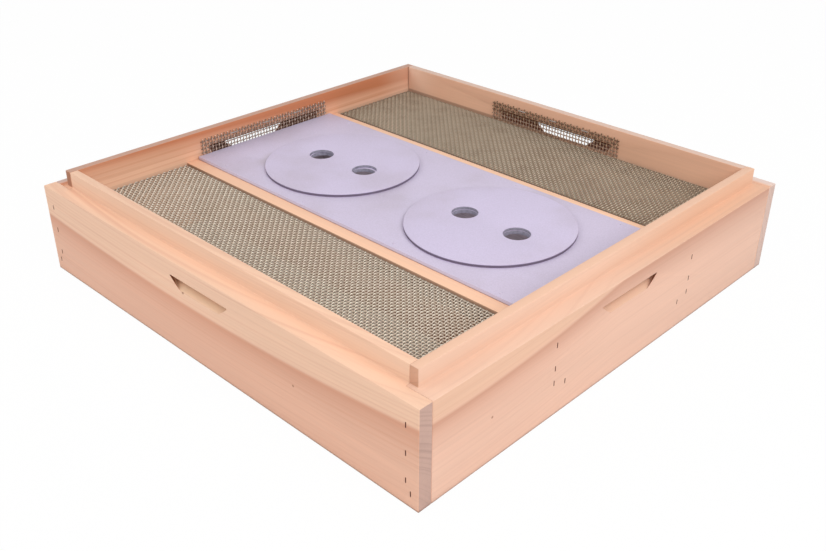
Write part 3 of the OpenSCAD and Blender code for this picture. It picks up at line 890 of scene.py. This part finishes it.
warp = woven_wires(given["Points X"], given["Points Y"], True, given["Crimp"])
weft = woven_wires(given["Points Y"], given["Points X"], False, calc(cloth, "SUBTRACT", given["Crimp"], 1.0))
both = together(cloth, warp, weft)
here = step(cloth, "InputPosition")
wavy_feeds = {"Vector": here, "Scale": WANDER_SCALE, "Detail": 1.0}
wavy = add(cloth, "TexNoise", wavy_feeds).outputs["Color"]
sway_feeds = {0: vector_calc(cloth, "SUBTRACT", wavy, (0.5, 0.5, 0.5)), "Scale": given["Wander"]}
sway = add(cloth, "VectorMath", sway_feeds, operation="SCALE").outputs[0]
trim = joined(cloth, {0: given["Trim X"], 1: given["Trim Y"], 2: 1.0})
trimmed = vector_calc(cloth, "MINIMUM", vector_calc(cloth, "ADD", here, sway), trim)
trimmed = vector_calc(cloth, "MAXIMUM", trimmed, vector_calc(cloth, "MULTIPLY", trim, (-1.0, -1.0, -1.0)))
woven = step(cloth, "SetPosition", geometry=both, position=trimmed)
print("weaving nodes:", len(cloth.nodes))

# %% Turn the edges down and make the wires round
CLOTH_SIDES = 5


def beyond(axis):
    """How far a point lies past the flat part along one axis, with the coordinates it has there."""
    spot = split(cloth, step(cloth, "InputPosition"))
    flat = given["Flat X"] if axis == 0 else given["Flat Y"]
    return calc(cloth, "SUBTRACT", calc(cloth, "ABSOLUTE", spot[axis]), flat), spot, flat


def round_wire(tree, line, sides, wire):
    """A line made solid, with a round section."""
    section = step(tree, "CurvePrimitiveCircle", resolution=sides, radius=product(tree, wire, 0.5))
    return step(tree, "CurveToMesh", curve=line, profile_curve=section, fill_caps=True)


def finish_tree(tree, shape, finish, result):
    """End a tree with real geometry in its own material, because the export drops instances."""
    real = step(tree, "RealizeInstances", geometry=shape)
    tree.links.new(step(tree, "SetMaterial", geometry=real, material=finish), result)
    print(tree.name, "nodes:", len(tree.nodes))


corners = calc(cloth, "MINIMUM", beyond(0)[0], beyond(1)[0])
woven = step(cloth, "DeleteGeometry", {"domain": "POINT"}, geometry=woven, selection=corners)
for axis in (0, 1):
    past, spot, flat = beyond(axis)
    side = product(cloth, calc(cloth, "SIGN", spot[axis]), calc(cloth, "ADD", flat, spot[2]))
    folded = joined(cloth, {axis: side, 1 - axis: spot[1 - axis], 2: product(cloth, past, -1.0)})
    woven = step(cloth, "SetPosition", geometry=woven, selection=past, position=folded)
solid = round_wire(cloth, woven, CLOTH_SIDES, given["Wire"])
placed = step(cloth, "Transform", geometry=solid, translation=given["Place"], rotation=given["Turn"])
finish_tree(cloth, placed, given["Finish"], made["Geometry"])

# %% Grow a piece from a tree
def grown(piece_name, tree, start_mesh, finish, **values):
    """Run a Geometry Nodes tree on a start mesh and keep the result as a plain mesh."""
    piece = bpy.data.objects.new(piece_name, start_mesh)
    scene.collection.objects.link(piece)
    modifier = piece.modifiers.new(tree.name, "NODES")
    modifier.node_group = tree
    sockets = {item.name: item.identifier for item in tree.interface.items_tree if item.in_out == "INPUT"}
    modifier[sockets["Finish"]] = finish
    for key, value in values.items():
        modifier[sockets[spaced(key)]] = value
    graph = bpy.context.evaluated_depsgraph_get()
    result = bpy.data.meshes.new_from_object(piece.evaluated_get(graph))
    piece.modifiers.clear()
    piece.data = result
    result.name = piece_name
    result.shade_smooth()
    return piece


def centre_of(node_name):
    """The middle of a CAD node's box, and its size."""
    low, high = (Vector(c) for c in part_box(node_name))
    return (low + high) / 2, high - low


def odd_count(length, pitch):
    """The largest odd number of points that fit a length at a pitch."""
    steps = math.floor(length / pitch / 2.0)
    return 2 * steps + 1


# %% [markdown]
# The floor cloth covers each bay from wall to divider and is turned down all round, where hidden staples
# hold it. The vent patches are cut from a coarser cloth and stapled flat over the inner mouth of each slot.
# Both come from the one tree, so only the pitch, the wire, the crimp and the place differ.

# %% Floor cloth
FLOOR_WIRE = 0.95 * MM
FLOOR_PITCH = 3.36 * MM
FLOOR_CRIMP = 0.12
FLOOR_WANDER = 0.7 * MM
for bay, zinc in (("front", FRONT_ZINC), ("back", BACK_ZINC)):
    middle, size = centre_of(bay + "_screen")
    highest = FLOOR_WIRE * (1.5 - FLOOR_CRIMP)
    turned_down = size.z - highest
    piece = grown(
        bay + "_screen_cloth", cloth, bpy.data.meshes.new("empty"), zinc,
        pitch=FLOOR_PITCH, wire=FLOOR_WIRE, crimp=FLOOR_CRIMP,
        points_x=odd_count(size.x + 2 * turned_down, FLOOR_PITCH),
        points_y=odd_count(size.y + 2 * turned_down, FLOOR_PITCH),
        flat_x=size.x / 2 - highest, flat_y=size.y / 2 - highest,
        wander=FLOOR_WANDER, place=(middle.x, middle.y, middle.z + size.z / 2 - highest),
    )
    seat(piece, "box", "screen_wire", bay + "_screen")

# %% Vent cloth
VENT_WIRE = 1.2 * MM
VENT_PITCH = 4.08 * MM
VENT_CLEAR = 0.4 * MM
VENT_DROP = 1.2 * MM
VENT_WANDER = 0.5 * MM
VENT_OVERHANG = 2
UPRIGHT_TURN = math.radians(90.0)
VENT_TURNS = {"front": 180.0, "back": 0.0, "left": 90.0, "right": 270.0}
for wall, turn in VENT_TURNS.items():
    middle, size = centre_of(wall + "_vent_screen")
    shift = -Vector((middle.x, middle.y, 0.0)).normalized() * VENT_CLEAR
    shift.z = -VENT_DROP
    length = max(size.x, size.y)
    piece = grown(
        wall + "_vent_cloth", cloth, bpy.data.meshes.new("empty"),
        LIT_VENT if wall in ("left", "right") else DIM_VENT,
        pitch=VENT_PITCH, wire=VENT_WIRE, overhang=VENT_OVERHANG,
        points_x=odd_count(length, VENT_PITCH), points_y=odd_count(size.z, VENT_PITCH),
        trim_x=length / 2, trim_y=size.z / 2, wander=VENT_WANDER,
        turn=(UPRIGHT_TURN, 0.0, math.radians(turn)), place=tuple(middle + shift),
    )
    seat(piece, "box", "screen_wire", wall + "_vent_screen")

# %% [markdown]
# Staples hold the whole box together: tall ones through the corner joints and into the dividers, and short
# ones over the cloth. Each is one bent wire. The CAD nodes already know where every staple sits, so each
# loose solid of a node is read for its crown and its legs, and the tree places one bent wire there. They are
# shot in by hand, so each is turned a hair differently, from a fixed seed.

# %% Staple tree
BEND_SHARE = 0.55
BEND_POINTS = 3
STAPLE_SIDES = 8
staple_inputs = {"Geometry": GEOMETRY, "Crown": 0.0064, "Leg": 0.03, "Wire": 0.0013, "Finish": MATERIAL}
staples, given, made = new_group("bent_wire_staples", "GeometryNodeTree", staple_inputs, MESH_OUT)
half_crown = product(staples, calc(staples, "SUBTRACT", given["Crown"], given["Wire"]), 0.5)
bent = {}
for number, (side, drop) in enumerate(((-1.0, True), (-1.0, False), (1.0, False), (1.0, True)), start=1):
    bend = {0: product(staples, half_crown, side)}
    if drop:
        bend[2] = product(staples, given["Leg"], -1.0)
    bent["point_%d" % number] = joined(staples, bend)
outline = step(staples, "CurvePrimitiveQuadrilateral", {"mode": "POINTS"}, **bent)
outline = step(staples, "SetSplineCyclic", geometry=outline, cyclic=False)
outline = step(staples, "FilletCurve", {"mode": "POLY"}, curve=outline, count=BEND_POINTS,
               radius=product(staples, given["Wire"], BEND_SHARE))
wire_solid = round_wire(staples, outline, STAPLE_SIDES, given["Wire"])
aim = step(staples, "InputNamedAttribute", {"data_type": "FLOAT_VECTOR"}, name="aim")
aim = add(staples, "FunctionNodeEulerToRotation", {0: aim}).outputs[0]
shot = step(staples, "InstanceOnPoints", points=given["Geometry"], instance=wire_solid, rotation=aim)
finish_tree(staples, shot, given["Finish"], made["Geometry"])

# %% Read the staples' places from the frame
SAME_LEVEL = 0.01 * MM


def loose_solids(node_name):
    """The corner points of each separate solid in a CAD node, the solids sorted by place.
    Without the sorting their order, and so the tilt of each staple, would change from run to run."""
    shape = merged(node_name)
    left, solids = set(shape.verts), []
    while left:
        found, queue = [], [left.pop()]
        while queue:
            vert = queue.pop()
            found.append(vert.co.copy())
            for edge in vert.link_edges:
                other = edge.other_vert(vert)
                if other in left:
                    left.remove(other)
                    queue.append(other)
        solids.append(found)
    shape.free()
    return sorted(solids, key=lambda points: min([round(v / MM, 2) for v in p] for p in points))


def staple_frame(points):
    """Crown middle, crown direction, outward direction, crown length, leg length and wire of one staple.
    Its legs end in twice as many corners as its crown has, which tells the two ends apart."""
    low = Vector([min(p[i] for p in points) for i in range(3)])
    high = Vector([max(p[i] for p in points) for i in range(3)])
    counts = []
    for axis in range(3):
        at_low = sum(abs(p[axis] - low[axis]) < SAME_LEVEL for p in points)
        at_high = sum(abs(p[axis] - high[axis]) < SAME_LEVEL for p in points)
        counts.append(at_high - at_low)
    leg_axis = max(range(3), key=lambda i: abs(counts[i]))
    size = high - low
    crown_axis = max((i for i in range(3) if i != leg_axis), key=lambda i: size[i])
    outward = Vector([0.0, 0.0, 0.0])
    outward[leg_axis] = -1.0 if counts[leg_axis] > 0 else 1.0
    along = Vector([0.0, 0.0, 0.0])
    along[crown_axis] = 1.0
    top = (low + high) / 2 + outward * size[leg_axis] / 2
    return top, along, outward, size[crown_axis], size[leg_axis], min(size)


# %% Shoot the staples
STAPLES_SEED = 11
TILT_MOST = math.radians(2.5)
rng = random.Random(STAPLES_SEED)


def staple_points(node_name):
    """A mesh of one point per staple, with the turn of each kept in an attribute."""
    mesh = bpy.data.meshes.new(node_name + "_points")
    places, turns = [], []
    for points in loose_solids(node_name):
        top, along, outward, crown, leg, wire = staple_frame(points)
        basis = Matrix((along, outward.cross(along), outward)).transposed()
        tilt = Matrix.Rotation(rng.uniform(-TILT_MOST, TILT_MOST), 3, "Z")
        places.append(top - outward * wire / 2)
        turns.append((basis @ tilt).to_euler())
    mesh.from_pydata(places, [], [])
    store = mesh.attributes.new("aim", "FLOAT_VECTOR", "POINT")
    for item, turn in zip(store.data, turns):
        item.vector = turn
    return mesh, {"crown": crown, "leg": leg - wire / 2, "wire": wire}


STAPLE_FINISH = {"corner": FRAME_STEEL, "divider": FRAME_STEEL, "vent": BRIGHT_STEEL, "screen": BRIGHT_STEEL}
for node_name in sorted(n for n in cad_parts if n.endswith("_staples")):
    steel = next(STAPLE_FINISH[kind] for kind in STAPLE_FINISH if kind in node_name)
    points_mesh, sizes = staple_points(node_name)
    piece = grown(node_name + "_wire", staples, points_mesh, steel, **sizes)
    slot = "frame_staple" if steel is FRAME_STEEL else "screen_staple"
    seat(piece, "box", slot, node_name)

# %% [markdown]
# The deck sheet is tacked down with small brads, whose low round heads show as dots along its two long
# edges. A brad is a squashed ball on a thin shank, and the tree sets one at each place.

# %% Brad tree
HEAD_SEGMENTS = 12
HEAD_RINGS = 8
SHANK_SIDES = 8
brad_inputs = {"Geometry": GEOMETRY, "Head": 0.0028, "Proud": 0.0006, "Shank": 0.012, "Finish": MATERIAL}
brads, given, made = new_group("brads", "GeometryNodeTree", brad_inputs, MESH_OUT)
half_head = product(brads, given["Head"], 0.5)
ball = step(brads, "MeshUVSphere", segments=HEAD_SEGMENTS, rings=HEAD_RINGS, radius=half_head)
squash = joined(brads, {0: 1.0, 1: 1.0, 2: calc(brads, "DIVIDE", given["Proud"], half_head)})
head = step(brads, "Transform", geometry=ball, scale=squash)
shank = step(brads, "MeshCylinder", vertices=SHANK_SIDES, radius=product(brads, half_head, 0.5),
             depth=given["Shank"])
sunk = joined(brads, {2: product(brads, given["Shank"], -0.5)})
whole = together(brads, step(brads, "Transform", geometry=shank, translation=sunk), head)
tacked = step(brads, "InstanceOnPoints", points=given["Geometry"], instance=whole)
finish_tree(brads, tacked, given["Finish"], made["Geometry"])

# %% Drive the brads
brad_solids = loose_solids("panel_brads")
brad_low = min(p.z for p in brad_solids[0])
brad_top = max(p.z for p in brad_solids[0])
brad_places = [(sum(p.x for p in s) / len(s), sum(p.y for p in s) / len(s), DECK_TOP) for s in brad_solids]
brad_points = bpy.data.meshes.new("brad_points")
brad_points.from_pydata(brad_places, [], [])
piece = grown("panel_brad_heads", brads, brad_points, BRAD_STEEL,
              proud=brad_top - DECK_TOP, shank=DECK_TOP - brad_low)
seat(piece, "box", "brad", "panel_brads")
print("brads:", len(brad_places))

# %% [markdown]
# Under each cover a square-headed peg carries it, with a push-on washer below the deck. They hardly show,
# so a bevelled copy in dull steel is enough.

# %% Pegs and washers
PEG_ROUND = 0.15 * MM
for side in ("left", "right"):
    for node_name, slot in ((side + "_pivot", "peg"), (side + "_pivot_washer", "washer")):
        piece = dressed_copy(node_name, "_metal", BRIGHT_STEEL, PEG_ROUND)
        seat(piece, side + "_pivot", slot, node_name)
